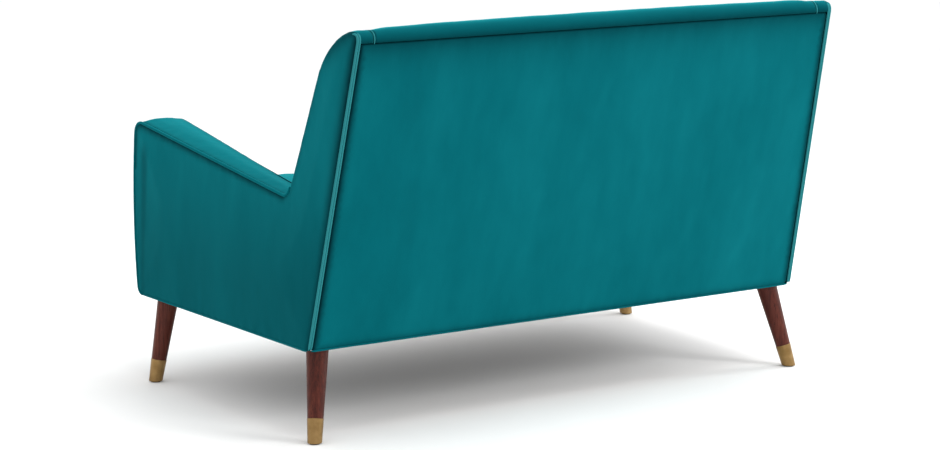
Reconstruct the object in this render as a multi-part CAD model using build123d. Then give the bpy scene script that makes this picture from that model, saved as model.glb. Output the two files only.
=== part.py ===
from build123d import *
import os
from math import hypot

# Two-seat upholstered sofa on four splayed, tapered wooden legs with brass ferrules.
# Millimetres. +Z is up, the seat faces -Y, +X is the sitter's left hand.
# The origin is on the floor, under the middle of the overall box.

# ---------------------------------------------------------------- driving dimensions
BODY_BOTTOM = 192.0      # underside of the upholstered body above the floor
BODY_TOP = 873.0         # crest of the back
CREST_FRONT_Y = 425.0    # the crest starts to round over forwards here
HALF_WIDTH = 650.0       # half the body's width at its rear bottom corners
REAR_BOTTOM_Y = 303.5    # rear face at the body's underside
REAR_RAKE = 0.239        # rearward lean of the rear face, mm per mm of height
SIDE_FLARE = 0.0326      # the sides open out towards the front, mm per mm
SIDE_LEAN = 0.0387       # the sides lean inwards towards the top, mm per mm
ARM_FRONT_Y = -463.0     # top of the arm's front edge
ARM_FRONT_TOP = 594.0    # height of the arm at its front
NOTCH_Z = 507.0          # height where the arm meets the back
BACK_FRONT_RAKE = 0.40   # rearward lean of the back's front face
NOTCH_Y = 207.0          # front face of the back at the notch
ARM_INNER_FRONT = (546.0, -442.0)   # the arm's inner face in plan, at the front
ARM_INNER_REAR = (572.0, 178.0)     # and at the rear

COVER = 3.0              # velvet with its backing
WADDING = 8.0            # polyester wadding under the outside panels
BOARD = 4.0              # fibreboard behind the outside panels
EDGE_PAD = 11.0          # padding over the frame's edges, under the bands
FRAME_DEPTH = COVER + WADDING + BOARD   # outer face to timber
RIB = 38.0               # thickness of the side frames' timber
RAIL_HEIGHT = 80.0
RAIL_THICK = 28.0
RAIL_BOTTOM = 196.0      # timber starts here, above dust cover and leg plates
RAIL_TOP = RAIL_BOTTOM + RAIL_HEIGHT
SEAM_Z = 845.0           # seam between the outside back and the top band
BAND_FRONT_Z = 790.0     # seam between the top band and the inside back

DECK_TOP = 298.0
WEB_DEPTH = 60.0         # rear face to the front of the back rails, square to the rake
WEB_THICK = 2.0

CUSHION_CLEAR = 0.5      # cushion above the deck
CUSHION_TOP = 430.0
CUSHION_FRONT_Y = -463.0
CUSHION_REAR_Y = 98.0
CUSHION_GAP = 3.0        # between the cushions, and to each arm
CUSHION_CORNER_R = 26.0
PIPING_R = 3.0

LEG_TOP_R = 24.0
LEG_FOOT_R = 14.6
FERRULE_WALL = 0.8
FERRULE_TOP = 52.0       # measured along the leg
GLIDE_THICK = 2.8
LEG_END_Z = 4.6          # the wood stops here, inside the ferrule
LEG_SEAT_Z = 192.3       # the wood meets its steel plate here
PLATE_THICK = 2.2
LEGS = {                 # (x, y) under the body, (x, y) on the floor
    "leg_rear_left": ((606.5, 269.0), (642.5, 316.0)),
    "leg_front_left": ((636.0, -360.0), (672.0, -362.0)),
}
BOLT_R = 4.0
ARM_RAIL_DEPTH = 36.0    # the arm's top rail, in side view
SEAT_RAIL_MID = (34.0, 62.0)        # the middle seat rail's width and height
BLOCK_REACH = 190.0      # the corner blocks' legs, measured from the outer corner
BLOCK_CORNER_X = 680.0
BLOCK_DROP = 15.0        # the corner blocks stop this far under the rails' top
PAD_THICK = 20.0         # inside back pads, proud of their cover
PAD_TOP_Z = 738.0
PAD_X = (1.0, 556.0)
WELT_R = 2.6
TOP_FOAM_Z = 852.0       # foam on top of the back's top rail starts here
STRAP_WIDTH = 55.0
STRAP_XS = (60, 170, 280, 390, 500)

SPAN = 1000.0            # larger than the sofa, for cutting blocks
ABOVE = 900.0            # higher than the crest
BEHIND = 600.0           # further back than the rear face
DEEP = 400.0             # deeper than the back, square to its rake
TOUCH = 0.2              # clearance between pieces that lie against each other

nodes = {}


# ---------------------------------------------------------------- reference planes
def rear_y(z):
    """The rear face's y at height z."""
    return REAR_BOTTOM_Y + REAR_RAKE * (z - BODY_BOTTOM)


def front_y(z):
    """The y of the back's front face, extended down to the deck."""
    return NOTCH_Y + BACK_FRONT_RAKE * (z - NOTCH_Z)


def side_plane(depth):
    """The plane depth mm inside the left outer face, facing out."""
    normal = Vector(1, SIDE_FLARE, SIDE_LEAN).normalized()
    point = Vector(HALF_WIDTH, REAR_BOTTOM_Y, BODY_BOTTOM) - normal * depth
    return Plane(origin=point, x_dir=(-SIDE_FLARE, 1, 0), z_dir=normal)


def side_slab(outer, inner):
    """A wide plate between two depths inside the left face."""
    align = (Align.CENTER, Align.CENTER, Align.MAX)
    return side_plane(outer) * Box(2 * SPAN, 2 * SPAN, inner - outer, align=align)


def between_sides(depth):
    """Everything more than depth mm inside both outer faces."""
    left = side_slab(depth, 2 * SPAN)
    return left & mirror(left, about=Plane.YZ)


def arm_inner_plane(offset):
    """The upright plane of the left arm's inner face, moved offset mm towards the arm."""
    (x0, y0), (x1, y1) = ARM_INNER_FRONT, ARM_INNER_REAR
    along = Vector(x1 - x0, y1 - y0, 0).normalized()
    outward = Vector(along.Y, -along.X, 0)
    return Plane(origin=Vector(x0, y0, 0) + outward * offset, x_dir=along, z_dir=outward)


def arm_outside_of(offset):
    """Everything on the arm's side of its inner face."""
    align = (Align.CENTER, Align.CENTER, Align.MIN)
    return arm_inner_plane(offset) * Box(2 * SPAN, 2 * SPAN, 2 * SPAN, align=align)


def seat_width(offset):
    """Everything between the two arms' inner faces, offset mm clear of them."""
    align = (Align.CENTER, Align.CENTER, Align.MAX)
    left = arm_inner_plane(-offset) * Box(2 * SPAN, 2 * SPAN, 2 * SPAN, align=align)
    return left & mirror(left, about=Plane.YZ)


# ---------------------------------------------------------------- side outlines, in (y, z)
def corner(sketch, y, z):
    """The sketch's vertex nearest to a point."""
    return sketch.vertices().sort_by_distance((y, z, 0))[0]


def rounded(sketch, corners):
    """The sketch with each listed corner (y, z, radius) rounded."""
    for y, z, radius in corners:
        sketch = fillet(corner(sketch, y, z), radius)
    return sketch


def crest_lines():
    """Rear face, crest and rounded front top of the back, from the rear bottom forwards."""
    rear_bottom = (REAR_BOTTOM_Y, BODY_BOTTOM)
    rear_top = (rear_y(BODY_TOP), BODY_TOP)
    crest_front = (CREST_FRONT_Y, BODY_TOP - 4)
    shoulder = (front_y(752.0), 752.0)
    return [
        Line(rear_bottom, rear_top),
        Line(rear_top, crest_front),
        ThreePointArc(crest_front, (355.0, 829.0), shoulder),
    ], shoulder


def body_outline():
    """The side view of arm and back together: the outside arm and back side panel."""
    lines, shoulder = crest_lines()
    notch = (NOTCH_Y, NOTCH_Z)
    arm_top = (ARM_FRONT_Y, ARM_FRONT_TOP)
    arm_bottom = (-437.0, BODY_BOTTOM)
    lines += [
        Line(shoulder, notch),
        Line(notch, arm_top),
        ThreePointArc(arm_top, (-464.5, 420.0), arm_bottom),
        Line(arm_bottom, (REAR_BOTTOM_Y, BODY_BOTTOM)),
    ]
    corners = [
        (REAR_BOTTOM_Y, BODY_BOTTOM, 12),
        (rear_y(BODY_TOP), BODY_TOP, 18),
        (*notch, 24),
        (*arm_top, 28),
        (*arm_bottom, 24),
    ]
    return rounded(make_face(Curve() + lines), corners)


def back_outline():
    """The side view of the back alone, its front face carried down to the underside."""
    lines, shoulder = crest_lines()
    foot = (front_y(BODY_BOTTOM), BODY_BOTTOM)
    lines += [Line(shoulder, foot), Line(foot, (REAR_BOTTOM_Y, BODY_BOTTOM))]
    corners = [(REAR_BOTTOM_Y, BODY_BOTTOM, 12), (rear_y(BODY_TOP), BODY_TOP, 18)]
    return rounded(make_face(Curve() + lines), corners)


def area(*points):
    """A flat outline from (y, z) points."""
    return make_face(Polyline(*points, close=True))


def box_area(y_low, z_low, y_high, z_high):
    """An upright rectangle in side view."""
    return area((y_low, z_low), (y_high, z_low), (y_high, z_high), (y_low, z_high))


def across(sketch):
    """The (y, z) sketch as a bar across the whole sofa."""
    return extrude(Plane.YZ * sketch, amount=SPAN, both=True)


def inset(sketch, distance):
    return offset(sketch, amount=-distance)


def band(sketch, outer, inner):
    """The strip between two insets of an outline."""
    return (inset(sketch, outer) if outer else sketch) - inset(sketch, inner)


def raked(z_low, z_high, depth_rear, depth_front):
    """An area parallel to the rear face, between two heights and two depths."""
    square = hypot(1, REAR_RAKE)
    return area(
        (rear_y(z_low) - depth_rear * square, z_low),
        (rear_y(z_high) - depth_rear * square, z_high),
        (rear_y(z_high) - depth_front * square, z_high),
        (rear_y(z_low) - depth_front * square, z_low),
    )


def slope(z_offset):
    """Two points along the arm's top line, moved up or down."""
    rise = (ARM_FRONT_TOP - NOTCH_Z) / (ARM_FRONT_Y - NOTCH_Y)
    ends = (ARM_FRONT_Y - 60, NOTCH_Y + 193)
    return [(y, NOTCH_Z + (y - NOTCH_Y) * rise + z_offset) for y in ends]


BODY = body_outline()
BACK = back_outline()
ARM_ZONE_Z = (BODY_BOTTOM - 1, ARM_FRONT_TOP + 6)
ARM_ZONE = area(             # in front of the back's front face
    (-SPAN, ARM_ZONE_Z[0]),
    (front_y(ARM_ZONE_Z[0]), ARM_ZONE_Z[0]),
    (front_y(ARM_ZONE_Z[1]), ARM_ZONE_Z[1]),
    (-SPAN, ARM_ZONE_Z[1]),
)


def add(name, part):
    nodes[name] = part


def add_pair(name, part):
    """A left piece and its mirror image."""
    nodes[name + "_left"] = part
    nodes[name + "_right"] = mirror(part, about=Plane.YZ)


def both(part):
    """A left piece and its mirror image as one group."""
    return Compound(children=[*part.solids(), *mirror(part, about=Plane.YZ).solids()])


# ---------------------------------------------------------------- timber frame
FRONT_RAIL_Y = -430.0
REAR_RAIL_Y = 259.0
POST_REAR_Y = -400.0


def rail_zone():
    """Side outline that the seat rails keep to, with the body's rounded lower corners."""
    return inset(BODY, RAIL_BOTTOM - BODY_BOTTOM)


def side_rail():
    back_end = FRAME_DEPTH * hypot(1, REAR_RAKE)
    outline = area(
        (FRONT_RAIL_Y, RAIL_BOTTOM),
        (rear_y(RAIL_BOTTOM) - back_end, RAIL_BOTTOM),
        (rear_y(RAIL_TOP) - back_end, RAIL_TOP),
        (FRONT_RAIL_Y, RAIL_TOP),
    )
    return across(outline & rail_zone()) & side_slab(FRAME_DEPTH, FRAME_DEPTH + RIB)


def cross_rail(y_front):
    """A rail between the side rails."""
    outline = box_area(y_front, RAIL_BOTTOM, y_front + RAIL_THICK, RAIL_TOP)
    return across(outline & rail_zone()) & between_sides(FRAME_DEPTH + RIB)


def centre_seat_rail():
    length = REAR_RAIL_Y - FRONT_RAIL_Y - RAIL_THICK
    y_mid = (REAR_RAIL_Y + FRONT_RAIL_Y + RAIL_THICK) / 2
    width, height = SEAT_RAIL_MID
    return Pos(0, y_mid, RAIL_BOTTOM + height / 2) * Box(width, length, height)


def corner_block(y_corner, towards):
    """A glued triangular block in a corner of the seat frame."""
    x_out = BLOCK_CORNER_X
    flat = Polyline(
        (x_out - BLOCK_REACH, y_corner), (x_out, y_corner), (x_out, y_corner + towards * BLOCK_REACH),
        close=True,
    )
    block = extrude(Pos(0, 0, RAIL_BOTTOM) * make_face(flat), amount=RAIL_HEIGHT - BLOCK_DROP)
    return block & side_slab(FRAME_DEPTH + RIB, SPAN)


def arm_rail_area():
    """The arm's top rail in side view, under the arm's padding."""
    (y0, z0), (y1, z1) = slope(-COVER - EDGE_PAD)
    return area((y0, z0), (y1, z1), (y1, z1 - ARM_RAIL_DEPTH), (y0, z0 - ARM_RAIL_DEPTH))


def frame_zone():
    """Side outline of the timber frame, under its edge padding."""
    return inset(BODY, COVER + EDGE_PAD)


def rib_zone():
    """Side outline of the back's side frames, under their edge padding."""
    return inset(BACK, COVER + EDGE_PAD)


def arm_front_post():
    post = box_area(-SPAN, RAIL_TOP, POST_REAR_Y, BODY_TOP)
    (y0, z0), (y1, z1) = slope(-COVER - EDGE_PAD - ARM_RAIL_DEPTH)
    under_rail = area((y0, z0), (y1, z1), (y1, 0), (y0, 0))
    return across(frame_zone() & post & under_rail) & side_slab(FRAME_DEPTH, FRAME_DEPTH + RIB)


def arm_top_rail():
    outline = frame_zone() & arm_rail_area() & ARM_ZONE - rib_zone()
    return across(outline) & side_slab(FRAME_DEPTH, FRAME_DEPTH + RIB)


def back_rib():
    """The back's side frame, cut from thick board to the back's side view."""
    above_rail = box_area(0, RAIL_TOP, BEHIND, ABOVE)
    rear_cut = raked(RAIL_TOP - 10, ABOVE, FRAME_DEPTH, DEEP)
    outline = rib_zone() & above_rail & rear_cut
    return across(outline) & side_slab(FRAME_DEPTH, FRAME_DEPTH + RIB)


def back_rail(z_low, z_high):
    outline = raked(z_low, z_high, FRAME_DEPTH, WEB_DEPTH)
    return across(outline) & between_sides(FRAME_DEPTH + RIB)


LOWER_RAIL = (302.0, 352.0)
TOP_RAIL = (790.0, 850.0)


def back_centre_post():
    """Upright in the middle of the back, between its two rails."""
    width = 45.0
    outline = raked(LOWER_RAIL[1], TOP_RAIL[0], FRAME_DEPTH, WEB_DEPTH)
    return across(outline) & Box(width, 2 * SPAN, 2 * SPAN)


add_pair("side_rail", side_rail())
add("front_seat_rail", cross_rail(FRONT_RAIL_Y))
add("rear_seat_rail", cross_rail(REAR_RAIL_Y))
add("centre_seat_rail", centre_seat_rail())
blocks = Compound(children=[
    *corner_block(REAR_RAIL_Y, -1).solids(),
    *corner_block(FRONT_RAIL_Y + RAIL_THICK, 1).solids(),
])
add("corner_blocks", both(blocks))
add_pair("arm_front_post", arm_front_post())
add_pair("arm_top_rail", arm_top_rail())
add_pair("back_rib", back_rib())
add("back_lower_rail", back_rail(*LOWER_RAIL))
add("back_top_rail", back_rail(*TOP_RAIL))
add("back_centre_post", back_centre_post())


# ---------------------------------------------------------------- outside boards and wadding
def outside_back_sheet(outer, inner, z_high):
    """A layer behind the outside back's cover, between two depths."""
    return across(raked(RAIL_BOTTOM + 12, z_high, outer, inner)) & between_sides(FRAME_DEPTH)


add("side_boards", both(across(frame_zone()) & side_slab(COVER + WADDING, FRAME_DEPTH)))
add("side_wadding", both(across(inset(BODY, COVER)) & side_slab(COVER, COVER + WADDING)))
add("outside_back_board", outside_back_sheet(COVER + WADDING, FRAME_DEPTH, SEAM_Z + 7))
add("outside_back_wadding", outside_back_sheet(COVER, COVER + WADDING, SEAM_Z - 2))


# ---------------------------------------------------------------- seat suspension
WIRE_R = 1.9
CLIP_THICK = 1.2
SPRING_Z = RAIL_TOP + CLIP_THICK + WIRE_R + 0.1
SPRING_XS = [-450, -270, -90, 90, 270, 450]


def sinuous_spring():
    """One zigzag wire from the front rail to the rear rail, and its two ends' y."""
    half_pitch = 44.0
    half_width = 25.0
    y_start = FRONT_RAIL_Y + RAIL_THICK / 2
    turns = int((REAR_RAIL_Y + RAIL_THICK / 2 - y_start) / half_pitch)
    points = [(-half_width, y_start)]
    for i in range(turns):
        y = y_start + i * half_pitch
        side = half_width if i % 2 == 0 else -half_width
        points += [(side, y), (side, y + half_pitch)]
    y_end = points[-1][1]
    points.append((-points[-1][0], y_end))
    path = FilletPolyline(*points, radius=half_pitch * 0.4)
    wire = extrude(trace(path, line_width=2 * WIRE_R), amount=2 * WIRE_R)
    return Pos(0, 0, SPRING_Z - WIRE_R) * wire, y_start, y_end


def spring_clip(y_wire):
    """A bent steel clip that holds a wire's end run down on its rail."""
    length = 20.0
    height = 2 * (CLIP_THICK + WIRE_R) + 0.2
    body = Pos(0, y_wire + 3, RAIL_TOP + height / 2) * Box(length, 14, height)
    slot = Pos(0, y_wire + 8, SPRING_Z) * Box(length + 2, 20, 2 * WIRE_R + 0.1)
    return body - slot


def seat_suspension():
    spring, y_start, y_end = sinuous_spring()
    springs = []
    clips = []
    front_clip = spring_clip(y_start)
    rear_clip = mirror(spring_clip(-y_end), about=Plane.XZ)
    for x in SPRING_XS:
        springs += (Pos(x, 0, 0) * spring).solids()
        clips += (Pos(x, 0, 0) * front_clip).solids()
        clips += (Pos(x, 0, 0) * rear_clip).solids()
    add("seat_springs", Compound(children=springs))
    add("spring_clips", Compound(children=clips))


def deck_layer(z_low, z_high, y_front, y_rear):
    """A flat layer of the seat deck, between the arms."""
    return across(box_area(y_front, z_low, y_rear, z_high)) & seat_width(1)


SPRING_COVER_Z = RAIL_TOP + 8.0
SPRING_COVER_THICK = 1.2
DECK_REAR_Y = REAR_RAIL_Y + 25
DECK_COVER_FRONT_Y = FRONT_RAIL_Y + 30

seat_suspension()
add("spring_cover", deck_layer(
    SPRING_COVER_Z, SPRING_COVER_Z + SPRING_COVER_THICK, FRONT_RAIL_Y + 2, DECK_REAR_Y
))
add("deck_pad", deck_layer(
    SPRING_COVER_Z + SPRING_COVER_THICK + TOUCH / 2, DECK_TOP - COVER, FRONT_RAIL_Y, DECK_REAR_Y
))
add("deck_cover", deck_layer(
    DECK_TOP - COVER, DECK_TOP, DECK_COVER_FRONT_Y, front_y(DECK_TOP) + 30
))


def back_webbing():
    """Upright elastic straps stretched over the front of the back's rails."""
    strap = across(raked(LOWER_RAIL[0] + 4, TOP_RAIL[1] - 8, WEB_DEPTH, WEB_DEPTH + WEB_THICK))
    straps = []
    for x in STRAP_XS:
        straps += (strap & Pos(x, 0, 0) * Box(STRAP_WIDTH, 2 * SPAN, 2 * SPAN)).solids()
    return both(Compound(children=straps))


add("back_webbing", back_webbing())


# ---------------------------------------------------------------- foam
def inside_back_foam():
    """Foam in front of the webbing, and the thin padding over the side frames' edges."""
    above_deck = box_area(0, DECK_TOP, BEHIND, ABOVE)
    front_part = raked(DECK_TOP, ABOVE, WEB_DEPTH + WEB_THICK, DEEP)
    main = across(inset(BACK, COVER) & above_deck & front_part) & between_sides(FRAME_DEPTH + RIB)
    over_top = box_area(0, TOP_FOAM_Z, BEHIND, ABOVE)
    edge = band(BACK, COVER, COVER + EDGE_PAD) & above_deck
    edge_front = edge & (raked(DECK_TOP, ABOVE, WEB_DEPTH + 20, DEEP) + over_top)
    sides = across(edge_front) & between_sides(FRAME_DEPTH)
    top = across(inset(BACK, COVER) & over_top & raked(DECK_TOP, ABOVE, FRAME_DEPTH, DEEP))
    foam = main + (sides - between_sides(FRAME_DEPTH + RIB)) + (top & between_sides(FRAME_DEPTH + RIB))
    return foam - nodes["arm_top_rail_left"] - nodes["arm_top_rail_right"]


def arm_foam():
    """Thick foam between the side frame and the inside arm cover."""
    zone = frame_zone() & ARM_ZONE
    above_rail = box_area(-SPAN, RAIL_TOP, BEHIND, ABOVE)
    room = side_slab(FRAME_DEPTH + RIB, SPAN) & arm_outside_of(COVER)
    return across(zone & above_rail) & room


def arm_band_padding():
    """Padding over the arm's top and front, under its band."""
    strip = band(BODY, COVER, COVER + EDGE_PAD) & ARM_ZONE
    above_rail = box_area(-SPAN, RAIL_TOP, BEHIND, ABOVE)
    return across(strip & above_rail) & side_slab(COVER + WADDING, SPAN) & arm_outside_of(COVER)


add("inside_back_foam", inside_back_foam())
add("arm_foam", both(arm_foam()))
add("arm_band_padding", both(arm_band_padding()))


# ---------------------------------------------------------------- velvet covers
def arm_band():
    """The boxing strip over the arm's top, round its front corner and down its front."""
    strip = band(BODY, 0, COVER) & ARM_ZONE
    underside = box_area(FRONT_RAIL_Y + 12, 0, BEHIND, BODY_BOTTOM + COVER + 1)
    return across(strip - underside) & side_slab(COVER, SPAN) & arm_outside_of(COVER)


def inside_arm_cover():
    """The arm's inner face, down to the deck, and to the underside in front of the rail."""
    skin = arm_outside_of(0) - arm_outside_of(COVER)
    below_deck = box_area(FRONT_RAIL_Y - 2, 0, BEHIND, SPRING_COVER_Z)
    return (across(BODY & ARM_ZONE) & skin) - across(below_deck)


def outside_back_cover():
    rear_half = raked(BODY_BOTTOM - 1, SEAM_Z, -1, COVER + 1)
    hem = box_area(REAR_BOTTOM_Y - 4.5, BODY_BOTTOM - 1, BEHIND, BODY_BOTTOM + COVER)
    return across(band(BACK, 0, COVER) & (rear_half + hem)) & between_sides(COVER)


def back_top_band():
    over = box_area(0, SEAM_Z, BEHIND, ABOVE)
    front = box_area(0, BAND_FRONT_Z, CREST_FRONT_Y - 5, ABOVE)
    return across(band(BACK, 0, COVER) & (over + front)) & between_sides(COVER)


def inside_back_cover():
    """Full width above the arms, and between the side frames behind them."""
    strip = band(BACK, 0, COVER) & raked(DECK_TOP - 5, ABOVE, WEB_DEPTH, DEEP)
    z_split = NOTCH_Z + 33
    lower = box_area(0, DECK_TOP, CREST_FRONT_Y, z_split)
    upper = box_area(0, z_split, CREST_FRONT_Y, BAND_FRONT_Z)
    behind_arms = across(strip & lower) & between_sides(FRAME_DEPTH + RIB)
    return behind_arms + (across(strip & upper) & between_sides(COVER))


def inside_back_pad():
    """One of the two padded panels of the inside back, standing proud of its cover."""
    square = hypot(1, BACK_FRONT_RAKE)
    z_low, z_high = DECK_TOP + 3, PAD_TOP_Z
    outline = area(
        (front_y(z_low) - TOUCH, z_low),
        (front_y(z_high) - TOUCH, z_high),
        (front_y(z_high) - PAD_THICK * square, z_high),
        (front_y(z_low) - PAD_THICK * square, z_low),
    )
    x_low, x_high = PAD_X
    block = across(outline) & Pos((x_low + x_high) / 2, 0, 0) * Box(x_high - x_low, 2 * SPAN, 2 * SPAN)
    front_face = block.faces().sort_by(Axis.Y)[0]
    return fillet(front_face.edges(), 8)


APRON_FOOT_Y = -441.0
APRON_TOP_Y = -457.0


def apron_cover():
    """Front border under the cushions, turned back over the edge of the deck."""
    outer = area(
        (APRON_FOOT_Y, BODY_BOTTOM), (APRON_TOP_Y, DECK_TOP), (DECK_COVER_FRONT_Y, DECK_TOP),
        (DECK_COVER_FRONT_Y, DECK_TOP - COVER), (APRON_TOP_Y + COVER + 0.5, DECK_TOP - COVER),
        (APRON_FOOT_Y + COVER, BODY_BOTTOM),
    )
    return across(outer) & seat_width(TOUCH)


def apron_padding():
    """Thin foam between the front rail and the apron's cover."""
    behind = COVER + TOUCH
    z_top = DECK_TOP - behind
    outline = area(
        (APRON_FOOT_Y + behind, RAIL_BOTTOM), (APRON_TOP_Y + behind + 0.6, z_top),
        (FRONT_RAIL_Y, z_top), (FRONT_RAIL_Y, RAIL_BOTTOM),
    )
    return across(outline) & seat_width(1)


def rear_welts():
    """Double piping along a rear corner: two cords side by side on the outside back."""
    square = hypot(1, REAR_RAKE)
    cords = []
    for inboard in (WELT_R, 3 * WELT_R + TOUCH):
        ends = []
        for z in (BODY_BOTTOM + 6, SEAM_Z + 4):
            y = rear_y(z) + (WELT_R + TOUCH / 4) * square
            x = HALF_WIDTH - SIDE_FLARE * (y - REAR_BOTTOM_Y) - SIDE_LEAN * (z - BODY_BOTTOM)
            ends.append(Vector(x - inboard, y, z))
        along = ends[1] - ends[0]
        align = (Align.CENTER, Align.CENTER, Align.MIN)
        cords.append(Plane(origin=ends[0], z_dir=along) * Cylinder(WELT_R, along.length, align=align))
    return both(Compound(children=cords))


def dust_cover():
    """Black lining stapled under the frame."""
    y_front, y_rear = FRONT_RAIL_Y + 18, REAR_RAIL_Y + 9
    outline = box_area(y_front, RAIL_BOTTOM - 1, y_rear, RAIL_BOTTOM)
    return across(outline) & between_sides(FRAME_DEPTH)


add_pair("side_cover", across(BODY) & side_slab(0, COVER))
add_pair("arm_band", arm_band())
add_pair("inside_arm_cover", inside_arm_cover())
add("outside_back_cover", outside_back_cover())
add("back_top_band", back_top_band())
add("inside_back_cover", inside_back_cover())
add_pair("inside_back_pad", inside_back_pad())
add("apron_cover", apron_cover())
add("apron_padding", apron_padding())
add("rear_welts", rear_welts())


# ---------------------------------------------------------------- loose seat cushions
def cushion_plan(inwards):
    """The left cushion's plan, moved inwards from its largest outline."""
    x_in = CUSHION_GAP / 2 + inwards
    (x0, y0), (x1, y1) = ARM_INNER_FRONT, ARM_INNER_REAR
    widen = (x1 - x0) / (y1 - y0)

    def x_out(y):
        return x0 + widen * (y - y0) - CUSHION_GAP - inwards

    y_front = CUSHION_FRONT_Y + inwards
    y_rear = CUSHION_REAR_Y - inwards
    plan = make_face(Polyline(
        (x_in, y_front), (x_out(y_front), y_front), (x_out(y_rear), y_rear), (x_in, y_rear), close=True
    ))
    return fillet(plan.vertices(), CUSHION_CORNER_R - inwards)


def cushion():
    """Core, cover, piping and zip of the left cushion."""
    z_low = DECK_TOP + CUSHION_CLEAR
    wall = 7.0                                   # velvet over a fibre wrap
    edge = 2.0                                   # the cover stands this far inside the piping
    piping_seat = 9.0                            # slanted edge that the piping lies on
    outer = extrude(Pos(0, 0, z_low) * cushion_plan(edge), amount=CUSHION_TOP - z_low)
    flat_faces = outer.faces().sort_by(Axis.Z)
    outer = chamfer(flat_faces[0].edges() + flat_faces[-1].edges(), piping_seat)
    core = extrude(
        Pos(0, 0, z_low + wall) * cushion_plan(edge + wall), amount=CUSHION_TOP - z_low - 2 * wall
    )
    piping = []
    for z in (z_low + PIPING_R, CUSHION_TOP - PIPING_R):
        path = cushion_plan(PIPING_R).wires()[0].moved(Location((0, 0, z)))
        start = Plane(origin=path @ 0, z_dir=path % 0)
        piping += sweep(start * Circle(PIPING_R), path=path).solids()
    piping = Compound(children=piping)
    x_mid, z_mid, zip_length = 285.0, (z_low + CUSHION_TOP) / 2, 430.0
    y_face = CUSHION_REAR_Y - edge
    tape = Pos(x_mid, y_face - 0.5, z_mid) * Box(zip_length, 1.0, 24)
    pull = Pos(x_mid - zip_length / 2 + 12, y_face + 0.9, z_mid) * Box(18, 1.6, 8)
    cover = outer - core - tape
    return core, cover, piping, Compound(children=[*tape.solids(), *pull.solids()])


for piece, part in zip(("core", "cover", "piping", "zip"), cushion()):
    add_pair("cushion_" + piece, part)


# ---------------------------------------------------------------- legs
def leg_parts(top, foot):
    """Wood, ferrule, bolt, plate and glide of one leg, on a slanted axis."""
    seat = Vector(*top, LEG_SEAT_Z)
    ground = Vector(*foot, 0)
    axis = seat - ground
    length = axis.length
    along = Plane(origin=ground, x_dir=(0, 1, 0), z_dir=axis)
    spare = 30.0
    taper = (LEG_TOP_R - LEG_FOOT_R) / length
    low_end = (Align.CENTER, Align.CENTER, Align.MIN)

    def cone(extra, start, end):
        """A length of the taper, extra mm larger in radius, between two distances up the axis."""
        radii = [LEG_FOOT_R + extra + taper * s for s in (start, end)]
        return along * Pos(0, 0, start) * Cone(radii[0], radii[1], end - start, align=low_end)

    def layer(z_low, z_high):
        return Pos(0, 0, (z_low + z_high) / 2) * Box(2 * SPAN, 2 * SPAN, z_high - z_low)

    wood = cone(0, -spare, length + spare) & layer(LEG_END_Z, LEG_SEAT_Z)
    ferrule = (cone(FERRULE_WALL, -spare, FERRULE_TOP) & layer(GLIDE_THICK, 2 * FERRULE_TOP)) - wood
    bolt = along * Pos(0, 0, length - 35) * Cylinder(BOLT_R, 68, align=low_end)
    plate = Pos(seat.X, seat.Y, LEG_SEAT_Z + PLATE_THICK / 2) * Box(58, 58, PLATE_THICK)
    plate = fillet(plate.edges().filter_by(Axis.Z), 8)
    glide = Pos(ground.X, ground.Y, 0) * Cylinder(11, GLIDE_THICK, align=low_end)
    return wood - bolt, ferrule, bolt, plate - bolt, glide


def mirrored(part):
    return mirror(part, about=Plane.YZ)


ferrules, bolts, plates, glides = [], [], [], []
for name, (top, foot) in LEGS.items():
    wood, ferrule, bolt, plate, glide = leg_parts(top, foot)
    add(name, wood)
    add(name.replace("left", "right"), mirrored(wood))
    for group, piece in ((ferrules, ferrule), (bolts, bolt), (plates, plate), (glides, glide)):
        group += [*piece.solids(), *mirrored(piece).solids()]

add("ferrules", Compound(children=ferrules))
add("hanger_bolts", Compound(children=bolts))
add("leg_plates", Compound(children=plates))
add("glides", Compound(children=glides))
add("dust_cover", dust_cover())


def drilled(part):
    """The part with the legs' bolts taken out of it."""
    for bolt in bolts:
        part = part - bolt
    return part


for name in ("side_rail_left", "side_rail_right", "rear_seat_rail", "corner_blocks", "dust_cover"):
    nodes[name] = drilled(nodes[name])


# ---------------------------------------------------------------- one STEP file per node
os.makedirs("parts", exist_ok=True)
for name, part in nodes.items():
    export_step(part, f"parts/{name}.step")
print(len(nodes), "nodes")
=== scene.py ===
import math

import bpy
import numpy as np
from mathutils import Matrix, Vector, noise
from mathutils.geometry import delaunay_2d_cdt


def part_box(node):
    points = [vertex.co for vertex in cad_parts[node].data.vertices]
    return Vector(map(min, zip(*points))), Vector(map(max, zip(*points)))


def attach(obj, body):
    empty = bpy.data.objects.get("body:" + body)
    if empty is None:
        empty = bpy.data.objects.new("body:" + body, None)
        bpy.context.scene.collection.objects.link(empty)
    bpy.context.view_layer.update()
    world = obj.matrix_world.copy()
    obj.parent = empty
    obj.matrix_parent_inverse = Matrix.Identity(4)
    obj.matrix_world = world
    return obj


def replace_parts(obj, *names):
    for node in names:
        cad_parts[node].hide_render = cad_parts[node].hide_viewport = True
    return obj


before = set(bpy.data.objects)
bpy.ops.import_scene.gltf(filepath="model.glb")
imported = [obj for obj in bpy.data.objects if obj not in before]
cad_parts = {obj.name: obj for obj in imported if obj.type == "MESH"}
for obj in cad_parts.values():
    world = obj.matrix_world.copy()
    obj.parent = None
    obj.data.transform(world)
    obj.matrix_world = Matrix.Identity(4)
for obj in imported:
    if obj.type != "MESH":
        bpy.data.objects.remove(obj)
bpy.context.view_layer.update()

MM = 0.001
SIDES = (("left", 1), ("right", -1))

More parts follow.
